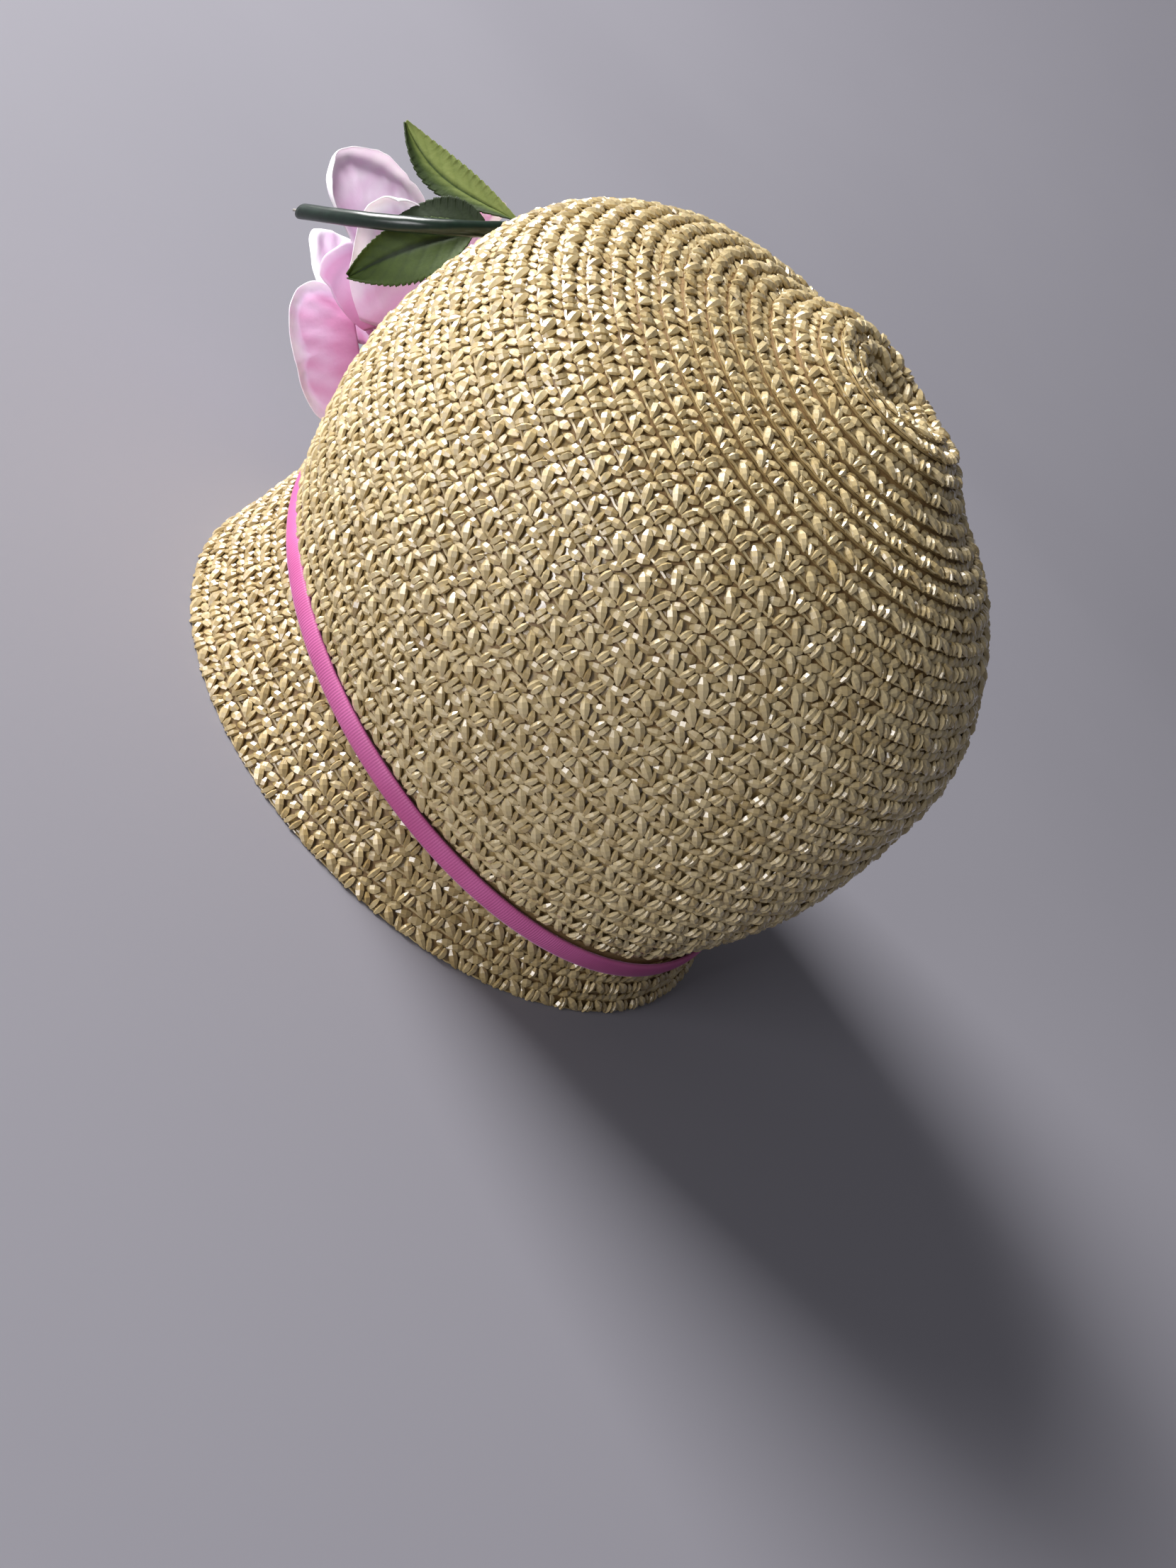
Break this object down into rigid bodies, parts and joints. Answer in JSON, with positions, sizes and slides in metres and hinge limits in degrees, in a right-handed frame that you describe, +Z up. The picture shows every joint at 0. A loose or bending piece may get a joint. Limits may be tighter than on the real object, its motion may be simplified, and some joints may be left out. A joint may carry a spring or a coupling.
{
  "type": "cloche hat",
  "caption": "Straw braid cloche hat with a deep leaning crown, steep turned-down brim, narrow ribbon and a cloth rose with stem and leaves at the front",
  "frame": {"origin": "middle of the head opening, on the level plane that the brim edge stands on", "axes": "+Z up through the hat; the front of the hat and the rose towards -Y, the back towards +Y, the wearer's left towards +X"},
  "size_m": [0.2026, 0.2866, 0.1826],
  "materials": {
    "crown_straw": "semi-gloss braided straw",
    "brim_straw": "semi-gloss braided straw",
    "ribbon_grosgrain": "satin ribbed ribbon",
    "petal_cloth": "matte thin cloth",
    "leaf_cloth": "matte pressed cloth",
    "stem_coating": "smooth coating"
  },
  "bodies": {
    "root": {"crown": "crown_straw", "brim": "brim_straw", "hat_band": "ribbon_grosgrain", "petal_outer_top": "petal_cloth", "petal_outer_left": "petal_cloth", "petal_outer_front": "petal_cloth", "petal_outer_low": "petal_cloth", "petal_outer_back": "petal_cloth", "petal_outer_right": "petal_cloth", "petal_outer_right_low": "petal_cloth", "petal_middle_left": "petal_cloth", "petal_middle_right": "petal_cloth", "petal_inner_top": "petal_cloth", "petal_inner_left": "petal_cloth", "petal_inner_low": "petal_cloth", "petal_inner_right": "petal_cloth", "rose_heart": "petal_cloth", "leaf_upper": "leaf_cloth", "leaf_middle": "leaf_cloth", "leaf_lower": "leaf_cloth", "rose_calyx": "leaf_cloth", "stem": "stem_coating"}
  },
  "joints": []
}
